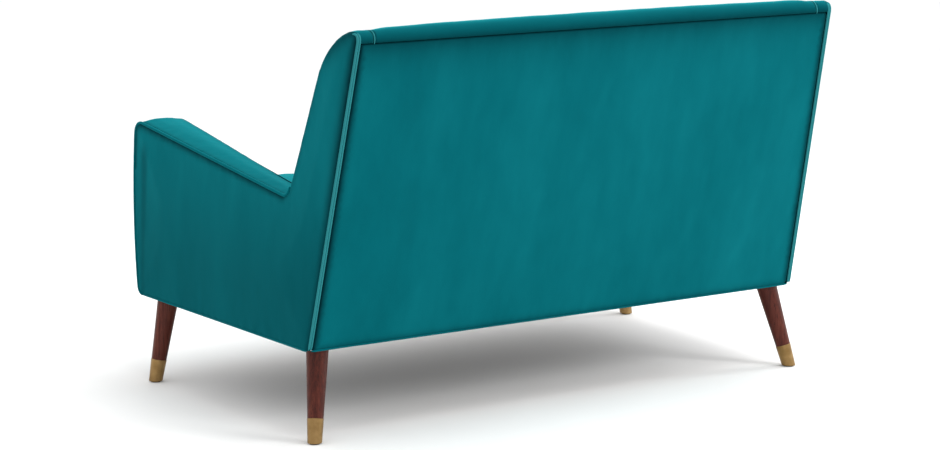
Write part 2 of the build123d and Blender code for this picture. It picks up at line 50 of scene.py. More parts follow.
# ---- the sofa's driving dimensions, in metres -------------------------------------------------
HALF_WIDTH = 0.650                      # half width at the rear bottom corner
BOTTOM_Z = 0.192
REAR_BOTTOM_Y = 0.3035
REAR_RAKE = 0.239
SIDE_FLARE = 0.0326
SIDE_LEAN = 0.0387
REAR_TOP = (0.4663, 0.873)              # (y, z) corners of the side view
CREST = (0.425, 0.869)
WING_BEND = (0.355, 0.829)              # on the curve from the crest down the wing
SHOULDER = (0.305, 0.752)
NOTCH = (0.207, 0.507)                  # where the arm top meets the back
ARM_FRONT = (-0.463, 0.594)
ARM_BEND = (-0.4645, 0.420)             # on the curve down the arm's front
FRONT_BOTTOM = (-0.437, BOTTOM_Z)
BACK_FRONT_RAKE = 0.40
INNER_FRONT = (0.546, -0.442)           # (x, y) of the arm's inner face, front and rear
INNER_REAR = (0.572, 0.178)
SEAM_Z = 0.845                          # top seam of the outside back
BAND_FRONT_Z = 0.790                    # seam between the top band and the inside back
CROSS_SEAM = 41.5 * MM                  # from the side face to the cross seam in the top band
DECK_Z = 0.298
DECK_FRONT_Y = -0.406
COVER = 2.4 * MM                        # thickness of the covers
EDGE = 1.6 * MM                         # from the side face's outline to a cover's edge
LIP = 3.2 * MM                          # radius of the rolled seams
HEM = 2.4 * MM                          # radius of the rolled hems
WELT = 2.5 * MM                         # radius of each rear welt
WELT_ROWS = (("outer", 2.4 * MM), ("inner", 7.3 * MM))      # distance of each welt from the side face
WELT_PAIR = 10.4 * MM                   # room for both welts beside the outside back
CUSHION_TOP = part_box("cushion_piping_left")[1].z
CUSHION_BOTTOM = DECK_Z + 0.8 * MM
CUSHION_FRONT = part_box("cushion_piping_left")[0].y
CUSHION_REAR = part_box("cushion_piping_left")[1].y
PIPING = 3.0 * MM                       # radius of the cushions' piping
CORNER = 26 * MM                        # radius of the cushions' corners in plan
CUSHION_TRAVEL = 17 * MM                # furthest the filling pushes a cushion's cover
ARM_GAP = 1.6 * MM                      # nearest a cushion's side bulges to the arm's nominal face
MIDDLE_GAP = 0.7 * MM                   # nearest it bulges to the middle of the sofa
FILLING_FRAMES = 20                     # frames of simulation that fill a cushion


def side_x(y, z):
    """Half width of the flared, inward-leaning side face."""
    return HALF_WIDTH - SIDE_FLARE * (y - REAR_BOTTOM_Y) - SIDE_LEAN * (z - BOTTOM_Z)


def rear_y(z):
    return REAR_BOTTOM_Y + REAR_RAKE * (z - BOTTOM_Z)


def back_front_y(z):
    return NOTCH[0] + BACK_FRONT_RAKE * (z - NOTCH[1])


def inner_x(y):
    """Inner face of the arm."""
    slope = (INNER_REAR[0] - INNER_FRONT[0]) / (INNER_REAR[1] - INNER_FRONT[1])
    return INNER_FRONT[0] + slope * (y - INNER_FRONT[1])


def smooth(t):
    t = np.clip(t, 0.0, 1.0)
    return t * t * (3 - 2 * t)


# ---- flat paths -------------------------------------------------------------------------------
def arc(a, middle, b, steps=9):
    """Points strictly between a and b on the circle through the three points."""
    ax, ay, bx, by, cx, cy = *a, *middle, *b
    d = 2 * (ax * (by - cy) + bx * (cy - ay) + cx * (ay - by))
    sa, sb, sc = ax * ax + ay * ay, bx * bx + by * by, cx * cx + cy * cy
    centre = np.array([
        (sa * (by - cy) + sb * (cy - ay) + sc * (ay - by)) / d,
        (sa * (cx - bx) + sb * (ax - cx) + sc * (bx - ax)) / d,
    ])
    start = math.atan2(ay - centre[1], ax - centre[0])
    sweep = math.atan2(cy - centre[1], cx - centre[0]) - start
    sweep = (sweep + math.pi) % (2 * math.pi) - math.pi
    radius = math.hypot(ax - centre[0], ay - centre[1])
    turns = [start + sweep * i / (steps + 1) for i in range(1, steps + 1)]
    return [(centre[0] + radius * math.cos(t), centre[1] + radius * math.sin(t), 0.0) for t in turns]


def rounded(corners, closed=True, steps=7):
    """A polyline through (u, v, radius) corners with each corner rounded."""
    out = []
    count = len(corners)
    for i, (u, v, radius) in enumerate(corners):
        here = np.array([u, v])
        if radius == 0 or (not closed and i in (0, count - 1)):
            out.append(here)
            continue
        before = np.array(corners[i - 1][:2]) - here
        after = np.array(corners[(i + 1) % count][:2]) - here
        before /= np.linalg.norm(before)
        after /= np.linalg.norm(after)
        half = math.acos(np.clip(before @ after, -1, 1)) / 2
        reach = radius / math.tan(half)
        centre = here + (before + after) / np.linalg.norm(before + after) * radius / math.sin(half)
        p, q = here + before * reach - centre, here + after * reach - centre
        turn = math.atan2(p[0] * q[1] - p[1] * q[0], p @ q)
        for k in range(steps + 1):
            c, s = math.cos(turn * k / steps), math.sin(turn * k / steps)
            out.append(centre + np.array([c * p[0] - s * p[1], s * p[0] + c * p[1]]))
    return np.array(out)


def resample(points, step, closed=False):
    """The same path with evenly spaced points."""
    points = np.asarray(points, float)
    if closed:
        points = np.vstack([points, points[:1]])
    along = np.concatenate([[0], np.cumsum(np.linalg.norm(np.diff(points, axis=0), axis=1))])
    count = max(2, int(round(along[-1] / step)))
    at = np.linspace(0, along[-1], count + 1)
    if closed:
        at = at[:-1]
    return np.stack([np.interp(at, along, points[:, i]) for i in range(points.shape[1])], axis=1)


def body_outline():
    """Side view of the upholstered body as (y, z), from the rear bottom corner up and round."""
    corners = [(REAR_BOTTOM_Y, BOTTOM_Z, 0.012), (*REAR_TOP, 0.018), (*CREST, 0.0)]
    corners += arc(CREST, WING_BEND, SHOULDER)
    corners += [(*SHOULDER, 0.0), (*NOTCH, 0.024), (*ARM_FRONT, 0.028)]
    corners += arc(ARM_FRONT, ARM_BEND, FRONT_BOTTOM)
    corners += [(*FRONT_BOTTOM, 0.024)]
    return rounded(corners)


OUTLINE = resample(body_outline(), 2 * MM, closed=True)


def part_of(loop, start, end, step):
    """The part of a loop from the point nearest start to the point nearest end, evenly spaced."""
    first = int(np.argmin(np.linalg.norm(loop - np.array(start), axis=1)))
    last = int(np.argmin(np.linalg.norm(loop - np.array(end), axis=1)))
    if last < first:
        last += len(loop)
    return resample(loop[[i % len(loop) for i in range(first, last + 1)]], step)


def inset_loop(loop, distance):
    """A closed loop, running either way round, moved inwards."""
    ahead = np.roll(loop, -1, axis=0) - np.roll(loop, 1, axis=0)
    ahead /= np.linalg.norm(ahead, axis=1)[:, None]
    area = np.sum(loop[:, 0] * np.roll(loop[:, 1], -1) - np.roll(loop[:, 0], -1) * loop[:, 1])
    inward = np.stack([-ahead[:, 1], ahead[:, 0]], axis=1) * (1 if area > 0 else -1)
    return loop + inward * distance


# ---- meshes -----------------------------------------------------------------------------------
SEAM_SHADE = 6 * MM                     # how far a seam's own shadow reaches into a panel
TUBE_SIDES = 12
TUBE_UNEVEN = 0.05                      # share of a roll's radius that varies along it
ASKEW = (0.31, 0.52, 0.79)              # any direction that no seam runs along


def make_object(name, verts, faces, seam):
    """A smooth mesh; seam says how deep each point lies in a seam or hollow, from 0 to 1, and the velvet
    paints shade into its colour by that much.
    """
    mesh = bpy.data.meshes.new(name)
    mesh.from_pydata([tuple(v) for v in verts], [], [tuple(f) for f in faces])
    mesh.validate()
    mesh.update()
    mesh.shade_smooth()
    # The "seam" attribute carries painted shade, which the velvet mixes into its colour.
    layer = mesh.attributes.new("seam", "FLOAT", "POINT")
    layer.data.foreach_set("value", np.asarray(seam, np.float32))
    obj = bpy.data.objects.new(name, mesh)
    bpy.context.scene.collection.objects.link(obj)
    return obj


def edge_distance(points, loop):
    """Distance from each 2-D point to a closed loop."""
    best = np.full(len(points), 1e9)
    for a, b in zip(loop, np.roll(loop, -1, axis=0)):
        run = b - a
        t = np.clip(((points - a) @ run) / (run @ run), 0, 1)
        best = np.minimum(best, np.linalg.norm(points - a - t[:, None] * run, axis=1))
    return best


def inside(points, loop):
    """Even-odd test for 2-D points in a closed loop."""
    hit = np.zeros(len(points), bool)
    for (x1, y1), (x2, y2) in zip(loop, np.roll(loop, -1, axis=0)):
        if y1 == y2:
            continue
        cross = ((y1 > points[:, 1]) != (y2 > points[:, 1]))
        at = (x2 - x1) * (points[:, 1] - y1) / (y2 - y1) + x1
        hit ^= cross & (points[:, 0] < at)
    return hit


# Distances from a panel's edge of the rows of points that shape its rolled seam.
RINGS = (1.1 * MM, 2.6 * MM, 4.4 * MM, 7.0 * MM)


def fill_loop(loop, spacing, rings=RINGS):
    """Triangulates a closed loop: rows along its edge, then an even staggered grid."""
    du, dv = spacing
    rows = []
    for distance in rings:
        row = inset_loop(loop, distance)
        rows.append(row[edge_distance(row, loop) > 0.97 * distance])
    low, high = loop.min(0), loop.max(0)
    grid = []
    for row, v in enumerate(np.arange(low[1] + dv / 2, high[1], dv)):
        shift = du / 2 if row % 2 else 0.0
        grid += [(u, v) for u in np.arange(low[0] + shift, high[0], du)]
    grid = np.array(grid)
    grid = grid[inside(grid, loop)]
    grid = grid[edge_distance(grid, loop) > (rings[-1] if rings else 0) + 0.5 * min(du, dv)]
    every = np.vstack([loop, *rows, grid])
    count = len(loop)
    edges = [(i, (i + 1) % count) for i in range(count)]
    border = [list(range(count))]
    verts, _, faces, *_ = delaunay_2d_cdt([Vector(p) for p in every], edges, border, 1, 1e-7)
    points = np.array([tuple(v) for v in verts])
    distance = edge_distance(points, loop)
    distance[distance < 1e-6] = 0.0
    return points, [list(f) for f in faces], distance


def boundary_edges(faces):
    """Directed edges that belong to one face only."""
    seen = {}
    for face in faces:
        for a, b in zip(face, face[1:] + face[:1]):
            if (b, a) in seen:
                del seen[(b, a)]
            else:
                seen[(a, b)] = True
    return list(seen)


def ripple(points, scale, seed):
    """Smooth noise from -1 to 1 at each 3-D point."""
    shift = Vector((seed * 7.3, seed * 3.1, seed * 1.7))
    return np.array([noise.noise(Vector(p) * scale + shift) for p in points])


def relief(base, distance, pucker, sway, seed):
    """Height of the puckers that die out from the seams, then of the slow waves all over, in turn."""
    near_seam = np.exp(-distance / 0.030) * smooth(distance / 0.006)
    at_seam = np.exp(-distance / 0.018) * smooth(distance / 0.005)
    yield pucker * ripple(base, 55, seed) * near_seam
    yield 0.35 * pucker * ripple(base, 130, seed + 3) * at_seam
    yield sway * ripple(base, 7, seed + 5) * smooth(distance / 0.06)
    yield 0.25 * sway * ripple(base, 23, seed + 6) * smooth(distance / 0.04)


def panel(name, loop, place, spacing, crown, reach, roll, pucker, sway, seed, shape=None,
          thick=COVER, shade=None):
    """A sewn cover panel: rolled down into its seams, crowned, a little uneven, closed behind.

    place(u, v, h) gives the 3-D points that stand h above the nominal face, and shape(u, v) adds to h.
    shade(u, v, distance) gives each point's painted shade in a hollow, from 0 to 1, where that
    reaches further than the seam's own painted shade.
    """
    points, faces, distance = fill_loop(loop, spacing)
    u, v = points[:, 0], points[:, 1]
    base = place(u, v, np.zeros(len(u)))
    bend = np.clip(roll - distance, 0, roll)
    height = np.sqrt(roll ** 2 - bend ** 2) - roll
    height += crown * smooth(distance / reach)
    for wave in relief(base, distance, pucker, sway, seed):
        height += wave
    if shape is not None:
        height += shape(u, v)
    front = place(u, v, height)
    back = place(u, v, height - thick)
    count = len(points)
    a, b, c = (front[i] for i in faces[0])
    outwards = np.cross(b - a, c - a) @ (place(u[:1], v[:1], np.array([0.01]))[0] - base[0])
    if outwards < 0:
        faces = [f[::-1] for f in faces]
    closed = list(faces) + [[i + count for i in f[::-1]] for f in faces]
    closed += [[b, a, a + count, b + count] for a, b in boundary_edges(faces)]
    # Painted shade: each seam's own, and the deeper hollows that shade() gives.
    seam = np.exp(-distance / SEAM_SHADE)
    if shade is not None:
        seam = np.maximum(seam, shade(u, v, distance))
    return make_object(name, np.vstack([front, back]), closed, np.tile(seam, 2))


def carried_frame(path, closed):
    """Two directions across a 3-D path at each point, and the twist left over round a closed one."""
    if closed:
        tangent = np.roll(path, -1, axis=0) - np.roll(path, 1, axis=0)
    else:
        tangent = np.gradient(path, axis=0)
    tangent /= np.linalg.norm(tangent, axis=1)[:, None]
    normal = np.cross(tangent[0], ASKEW)
    normals = []
    for t in tangent:
        normal = normal - (normal @ t) * t
        normal = normal / np.linalg.norm(normal)
        normals.append(normal)
    normals = np.array(normals)
    if closed:
        last = normals[-1] - (normals[-1] @ tangent[0]) * tangent[0]
        twist = math.atan2(np.cross(last, normals[0]) @ tangent[0], last @ normals[0])
    else:
        twist = 0.0
    return normals, np.cross(tangent, normals), twist


def tube(name, path, radius, seed, closed=False):
    """A round sewn roll along a 3-D path, slightly uneven, with closed rounded ends."""
    path = np.asarray(path, float)
    count, sides = len(path), TUBE_SIDES
    normals, across, twist = carried_frame(path, closed)
    swell = 1 + TUBE_UNEVEN * ripple(path, 60, seed)
    if not closed:
        ends = np.minimum(np.arange(count), np.arange(count)[::-1])
        swell *= np.sqrt(1 - (1 - np.clip((ends + 0.35) / 3, 0, 1)) ** 2)
    verts = []
    for i in range(count):
        for k in range(sides):
            turn = 2 * math.pi * k / sides + twist * i / count
            offset = math.cos(turn) * normals[i] + math.sin(turn) * across[i]
            verts.append(path[i] + offset * radius * swell[i])
    faces = []
    for i in range(count if closed else count - 1):
        j = (i + 1) % count
        for k in range(sides):
            m = (k + 1) % sides
            faces.append([i * sides + k, i * sides + m, j * sides + m, j * sides + k])
    if not closed:
        faces.append(list(range(sides))[::-1])
        faces.append([(count - 1) * sides + k for k in range(sides)])
    return make_object(name, verts, faces, np.zeros(len(verts)))


def mirrored(place, sign):
    """The same placing of points on the left side, or mirrored onto the right."""
    def put(u, v, h):
        spot = place(u, v, h)
        spot[:, 0] *= sign
        return spot
    return put


# ---- materials --------------------------------------------------------------------------------
class Shader:
    """A Principled material under construction, with short names for the usual nodes."""

    def __init__(self, name, **numbers):
        self.material = bpy.data.materials.new(name)
        self.material.use_nodes = True
        self.nodes = self.material.node_tree.nodes
        self.links = self.material.node_tree.links
        self.surface = self.nodes["Principled BSDF"]
        self.place = self.nodes.new("ShaderNodeTexCoord").outputs["Object"]
        for key, value in numbers.items():
            self.surface.inputs[key.replace("_", " ").title()].default_value = value

    def link(self, source, target):
        self.links.new(source, target)

    def stretched(self, scale):
        node = self.nodes.new("ShaderNodeMapping")
        node.inputs["Scale"].default_value = scale
        self.link(self.place, node.inputs["Vector"])
        return node.outputs["Vector"]

    def noise(self, scale, stretch=(1, 1, 1), detail=3.0, rough=0.55, twist=0.0):
        node = self.nodes.new("ShaderNodeTexNoise")
        node.inputs["Scale"].default_value = scale
        node.inputs["Detail"].default_value = detail
        node.inputs["Roughness"].default_value = rough
        node.inputs["Distortion"].default_value = twist
        self.link(self.stretched(stretch), node.inputs["Vector"])
        return node.outputs["Fac"]

    def ramp(self, factor, stops):
        node = self.nodes.new("ShaderNodeValToRGB")
        while len(node.color_ramp.elements) < len(stops):
            node.color_ramp.elements.new(0.5)
        for element, (at, colour) in zip(node.color_ramp.elements, stops):
            element.position = at
            element.color = (*colour, 1)
        self.link(factor, node.inputs["Fac"])
        return node.outputs["Color"]

    def sums(self, kind, a, b):
        node = self.nodes.new("ShaderNodeMath")
        node.operation = kind
        for socket, value in zip(node.inputs, (a, b)):
            if isinstance(value, (int, float)):
                socket.default_value = value
            else:
                self.link(value, socket)
        return node.outputs[0]

    def mix(self, factor, a, b):
        node = self.nodes.new("ShaderNodeMix")
        node.data_type = "RGBA"
        for socket, value in zip((node.inputs[0], node.inputs[6], node.inputs[7]), (factor, a, b)):
            if isinstance(value, (int, float)):
                socket.default_value = value
            elif isinstance(value, tuple):
                socket.default_value = (*value, 1)
            else:
                self.link(value, socket)
        return node.outputs[2]

    def rough(self, factor, low, high):
        """Roughness between two limits."""
        node = self.nodes.new("ShaderNodeMapRange")
        node.inputs["To Min"].default_value = low
        node.inputs["To Max"].default_value = high
        self.link(factor, node.inputs["Value"])
        self.link(node.outputs["Result"], self.surface.inputs["Roughness"])

    def bump(self, height, strength, distance, under=None):
        node = self.nodes.new("ShaderNodeBump")
        node.inputs["Strength"].default_value = strength
        node.inputs["Distance"].default_value = distance
        self.link(height, node.inputs["Height"])
        if under is not None:
            self.link(under, node.inputs["Normal"])
        return node.outputs["Normal"]

    def done(self, colour, normal=None):
        self.link(colour, self.surface.inputs["Base Color"])
        if normal is not None:
            self.link(normal, self.surface.inputs["Normal"])
        return self.material


VELVET_DEEP = (0.0003, 0.062, 0.076)
VELVET_BODY = (0.0006, 0.092, 0.111)
VELVET_LIGHT = (0.003, 0.145, 0.170)
# Paler teal for the painted sheen at grazing angles.
VELVET_PAINTED_SHEEN = (0.012, 0.36, 0.40)
# Pale teal for the painted highlight on the ridges of piping and welts.
VELVET_PAINTED_HIGHLIGHT = (0.070, 0.330, 0.335)
# Dark colour of the painted shade in seams and hollows.
VELVET_PAINTED_SHADE = (0.0003, 0.009, 0.013)


def velvet(name, stretch, painted_light=0.0, painted_sheen=0.5, pale=0.0):
    """Short-pile velvet: nap patches drawn out along one direction, with a painted sheen at grazing angles,
    a painted highlight, painted shade in seams and a painted lighter or darker shift per copy.
    """
    s = Shader(name, sheen_weight=0.30, sheen_roughness=0.35, sheen_tint=(0.02, 0.62, 0.68, 1))
    s.surface.inputs["Specular IOR Level"].default_value = 0.01
    patches = s.noise(5.5, stretch, detail=2.5, rough=0.5, twist=0.4)
    streaks = s.noise(34, stretch, detail=4, rough=0.6)
    fibres = s.noise(420, tuple(0.35 + 0.65 * k for k in stretch), detail=2)
    nap = s.sums("ADD", s.sums("MULTIPLY", patches, 0.52), s.sums("MULTIPLY", streaks, 0.26))
    # The per-copy shift makes this copy lighter or darker: painted light and shade for its panels.
    nap = s.sums("ADD", nap, 0.11 + painted_light)
    colour = s.ramp(nap, [(0.22, VELVET_DEEP), (0.50, VELVET_BODY), (0.92, VELVET_LIGHT)])
    colour = s.mix(s.sums("MULTIPLY", fibres, 0.18), colour, VELVET_LIGHT)
    # Painted sheen: the colour turns paler at grazing angles.
    facing = s.nodes.new("ShaderNodeLayerWeight")
    facing.inputs["Blend"].default_value = 0.32
    edge = s.sums("MULTIPLY", s.sums("POWER", facing.outputs["Facing"], 2.2), painted_sheen)
    colour = s.mix(edge, colour, VELVET_PAINTED_SHEEN)
    # Painted highlight for the ridges of piping and welts.
    colour = s.mix(pale, colour, VELVET_PAINTED_HIGHLIGHT)
    # Painted shade in seams and hollows, from the mesh's "seam" attribute.
    painted_shade_node = s.nodes.new("ShaderNodeAttribute")
    painted_shade_node.attribute_name = "seam"
    colour = s.mix(s.sums("MULTIPLY", painted_shade_node.outputs["Fac"], 0.97), colour, VELVET_PAINTED_SHADE)
    s.rough(fibres, 0.62, 0.9)
    coarse = s.bump(streaks, 0.10, 0.002)
    return s.done(colour, s.bump(fibres, 0.30, 0.0006, coarse))


def walnut():
    """Dark stained walnut with the grain along the leg and a satin lacquer."""
    s = Shader("leg_wood", coat_weight=0.10, coat_roughness=0.25)
    s.surface.inputs["Specular IOR Level"].default_value = 0.12
    figure = s.noise(9, (1, 1, 0.12), detail=3, twist=1.4)
    grain = s.noise(170, (1, 1, 0.045), detail=4, rough=0.65)
    pores = s.noise(620, (1, 1, 0.03), detail=2)
    tone = s.sums("ADD", s.sums("MULTIPLY", figure, 0.5), s.sums("MULTIPLY", grain, 0.5))
    colour = s.ramp(tone, [(0.32, (0.026, 0.0040, 0.0024)), (0.50, (0.072, 0.0130, 0.0072)),
                           (0.72, (0.150, 0.040, 0.022))])
    dark_pores = s.sums("MULTIPLY", s.sums("GREATER_THAN", pores, 0.60), 0.55)
    colour = s.mix(dark_pores, colour, (0.008, 0.003, 0.002))
    s.rough(grain, 0.34, 0.52)
    return s.done(colour, s.bump(grain, 0.12, 0.0004))


def brass():
    """Brushed brass, the brushing running round the cap, with faint tarnish."""
    s = Shader("ferrule_brass", metallic=1.0, anisotropic=0.5)
    brushing = s.noise(260, (0.05, 0.05, 1), detail=3)
    tarnish = s.noise(38, detail=4)
    colour = s.ramp(tarnish, [(0.30, (0.20, 0.118, 0.042)), (0.60, (0.30, 0.190, 0.078)),
                              (0.85, (0.42, 0.285, 0.130))])
    s.rough(brushing, 0.24, 0.44)
    return s.done(colour, s.bump(brushing, 0.10, 0.0002))


def softwood():
    """Pale sawn timber of the hidden frame."""
    s = Shader("frame_wood")
    rings = s.noise(14, (0.25, 1, 1), detail=3, twist=2.0)
    grain = s.noise(190, (0.08, 1, 1), detail=3)
    tone = s.sums("ADD", s.sums("MULTIPLY", rings, 0.6), s.sums("MULTIPLY", grain, 0.4))
    colour = s.ramp(tone, [(0.35, (0.31, 0.185, 0.085)), (0.55, (0.46, 0.30, 0.155)),
                           (0.75, (0.58, 0.41, 0.235))])
    s.rough(grain, 0.55, 0.8)
    return s.done(colour, s.bump(grain, 0.15, 0.0005))


def speckled(name, dark, light, scale, low, high, depth, stretch=(1, 1, 1), **numbers):
    """Two-tone grained finish for the plain hidden stuffs."""
    s = Shader(name, **numbers)
    coarse = s.noise(scale, stretch, detail=4, rough=0.62)
    fine = s.noise(scale * 7, stretch, detail=2)
    tone = s.sums("ADD", s.sums("MULTIPLY", coarse, 0.6), s.sums("MULTIPLY", fine, 0.4))
    s.rough(fine, low, high)
    return s.done(s.ramp(tone, [(0.34, dark), (0.66, light)]), s.bump(fine, 0.35, depth))


def woven(name, dark, light, pitch, low, high):
    """Plain weave: two crossed wave patterns over a little noise."""
    s = Shader(name)
    waves = []
    for axis in ("X", "Z"):
        wave = s.nodes.new("ShaderNodeTexWave")
        wave.bands_direction = axis
        wave.inputs["Scale"].default_value = pitch
        wave.inputs["Distortion"].default_value = 0.6
        s.link(s.place, wave.inputs["Vector"])
        waves.append(wave.outputs["Fac"])
    weave = s.sums("MULTIPLY", waves[0], waves[1])
    fluff = s.noise(240, detail=2)
    tone = s.sums("ADD", s.sums("MULTIPLY", weave, 0.6), s.sums("MULTIPLY", fluff, 0.4))
    s.rough(fluff, low, high)
    return s.done(s.ramp(tone, [(0.2, dark), (0.7, light)]), s.bump(tone, 0.4, 0.0006))


UPRIGHT = (1.0, 1.0, 0.22)              # nap drawn out up and down
LENGTHWISE = (1.0, 0.20, 1.0)           # nap drawn out front to back
CROSSWISE = (0.20, 1.0, 1.0)            # nap drawn out left to right

FINISH = {
    # Copies of one velvet: the stretch follows each panel's nap; the per-copy shift is painted light and
    # shade, darker on the arm bands and lighter on the back, the roll and the piping.
    "velvet": velvet("velvet", UPRIGHT, painted_light=0.04),
    "velvet_back": velvet("velvet_back", UPRIGHT, painted_light=0.06),
    "velvet_arm": velvet("velvet_arm", LENGTHWISE, painted_light=-0.12, painted_sheen=0.43),
    "velvet_top": velvet("velvet_top", CROSSWISE, painted_light=0.05),
    "piping_velvet": velvet("piping_velvet", (1, 1, 1), painted_light=0.10, painted_sheen=0.4, pale=0.30),
    "leg_wood": walnut(),
    "ferrule_brass": brass(),
    "frame_wood": softwood(),
    "fibreboard": speckled("fibreboard", (0.15, 0.09, 0.045), (0.27, 0.18, 0.10), 60, 0.75, 0.92, 0.0004),
    "wadding": speckled("wadding", (0.62, 0.62, 0.58), (0.86, 0.86, 0.83), 24, 0.9, 1.0, 0.003),
    "foam": speckled("foam", (0.62, 0.57, 0.38), (0.83, 0.79, 0.60), 130, 0.85, 0.98, 0.0009),
    "webbing": woven("webbing", (0.012, 0.012, 0.012), (0.065, 0.062, 0.058), 90, 0.75, 0.95),
    "lining": woven("lining", (0.0035, 0.0035, 0.004), (0.018, 0.018, 0.019), 160, 0.8, 0.95),
    "steel": speckled("steel", (0.42, 0.42, 0.43), (0.62, 0.62, 0.64), 45, 0.25, 0.5, 0.0002, metallic=1.0),
    "glide_plastic": speckled("glide_plastic", (0.010, 0.010, 0.010), (0.022, 0.022, 0.022),
                              90, 0.5, 0.7, 0.0002),
    "zip_plastic": speckled("zip_plastic", (0.001, 0.05, 0.062), (0.003, 0.085, 0.10),
                            300, 0.4, 0.6, 0.0004, stretch=(1, 0.2, 0.2)),
}


def dress(obj, finish, body="frame"):
    """Gives a new piece its material and its body."""
    obj.data.materials.clear()
    obj.data.materials.append(FINISH[finish])
    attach(obj, body)
    "velvet" if finish.startswith("velvet") else finish
    return obj


def dress_cad_nodes():
    """Every CAD node gets the procedural material that has its own material's name."""
    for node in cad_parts.values():
        for holder in node.material_slots:
            holder.material = FINISH[holder.material.name.split(".")[0]]


# ---- covers -----------------------------------------------------------------------------------
def side_panels():
    """Outside arm and outside wing in one piece, each side."""
    loop = resample(inset_loop(OUTLINE, EDGE), 4 * MM, closed=True)

    def place(y, z, h):
        return np.stack([side_x(y, z) + h, y, z], axis=1)

    def hollow(y, z, distance):
        """Painted shade beside the rear welts, under the crest and the arm's lip, low on the panel
        and in a band just behind the front edge.
        """
        beside_welt = 0.70 + 0.25 * smooth((z - 0.30) / 0.5)
        beside_welt *= np.exp(-((rear_y(z) - y) / 0.024) ** 2)
        under_crest = 0.9 * np.exp(-distance / 0.024) * smooth((z - 0.76) / 0.08)
        under_lip = 0.95 * np.exp(-(distance / 0.013) ** 2)
        under_lip *= smooth((NOTCH[0] + 0.01 - y) / 0.03) * (z > 0.48)
        lower_shade = 0.42 * smooth((0.62 - z) / 0.35) * (0.80 + 0.20 * smooth((y + 0.2) / 0.5))
        front_shade = 0.50 * np.exp(-((y + 0.415) / 0.020) ** 2) * smooth((0.56 - z) / 0.05)
        return np.max([beside_welt, under_crest, under_lip, lower_shade, front_shade], axis=0)

    for label, sign in SIDES:
        piece = panel(f"side_panel_{label}", loop, mirrored(place, sign), (8.5 * MM, 8.5 * MM),
                      crown=6.5 * MM, reach=0.15, roll=6.5 * MM, pucker=1.3 * MM, sway=2.2 * MM,
                      seed=2 + sign, shade=hollow)
        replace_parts(dress(piece, "velvet"), f"side_cover_{label}", "side_wadding")


def band_frame(path):
    """Arc length along a (y, z) path with its left-hand normals, for covers bent round it."""
    along = np.concatenate([[0], np.cumsum(np.linalg.norm(np.diff(path, axis=0), axis=1))])
    tangent = np.gradient(path, axis=0)
    kernel = np.ones(5) / 5
    padded = np.pad(tangent, ((2, 2), (0, 0)), mode="edge")
    tangent = np.stack([np.convolve(padded[:, i], kernel, "valid") for i in (0, 1)], axis=1)
    tangent /= np.linalg.norm(tangent, axis=1)[:, None]
    return along, np.stack([-tangent[:, 1], tangent[:, 0]], axis=1)


def bent_band(name, path, low_x, high_x, sign, outward, spacing, **look):
    """A cover bent along a (y, z) path.

    low_x and high_x give the x of its two edges along the path. outward is 1 where the outside is on
    the left of the path as it runs, seen with +Y to the right and +Z up, and -1 where it is on the right.
    """
    along, normal = band_frame(path)
    normal = normal * outward

    def place(u, x, h):
        y = np.interp(u, along, path[:, 0]) + h * np.interp(u, along, normal[:, 0])
        z = np.interp(u, along, path[:, 1]) + h * np.interp(u, along, normal[:, 1])
        return np.stack([x, y, z], axis=1)

    marks = np.arange(len(path))[:: max(1, int(4 * MM / (along[1] - along[0])))]
    if marks[-1] != len(path) - 1:
        marks = np.append(marks, len(path) - 1)
    lower = np.array([(along[i], low_x(*path[i])) for i in marks])
    upper = np.array([(along[i], high_x(*path[i])) for i in marks])
    loop = resample(np.vstack([lower, upper[::-1]]), 4 * MM, closed=True)
    return panel(name, loop, mirrored(place, sign), spacing, **look)


def arm_bands():
    """The band over each arm top, round the front corner and down the front."""
    path = part_of(OUTLINE, (0.222, 0.537), (-0.414, BOTTOM_Z), 2 * MM)
    length = np.linalg.norm(np.diff(path, axis=0), axis=1).sum()

    def tilt(u, x):
        """The inner edge sits a little lower towards the rear."""
        inward = np.clip((0.66 - np.abs(x)) / 0.10, 0, 1)
        return -5 * MM * inward * smooth(1 - u / (0.55 * length))

    for label, sign in SIDES:
        piece = bent_band(
            f"arm_top_band_{label}", path, lambda y, z: inner_x(y) + 1.0 * MM,
            lambda y, z: side_x(y, z) - EDGE, sign, -1, (5 * MM, 7 * MM), crown=5 * MM, reach=0.045,
            roll=7 * MM, pucker=0.8 * MM, sway=1.6 * MM, seed=6 + sign, shape=tilt,
        )
        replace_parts(dress(piece, "velvet_arm"), f"arm_band_{label}", "arm_band_padding")


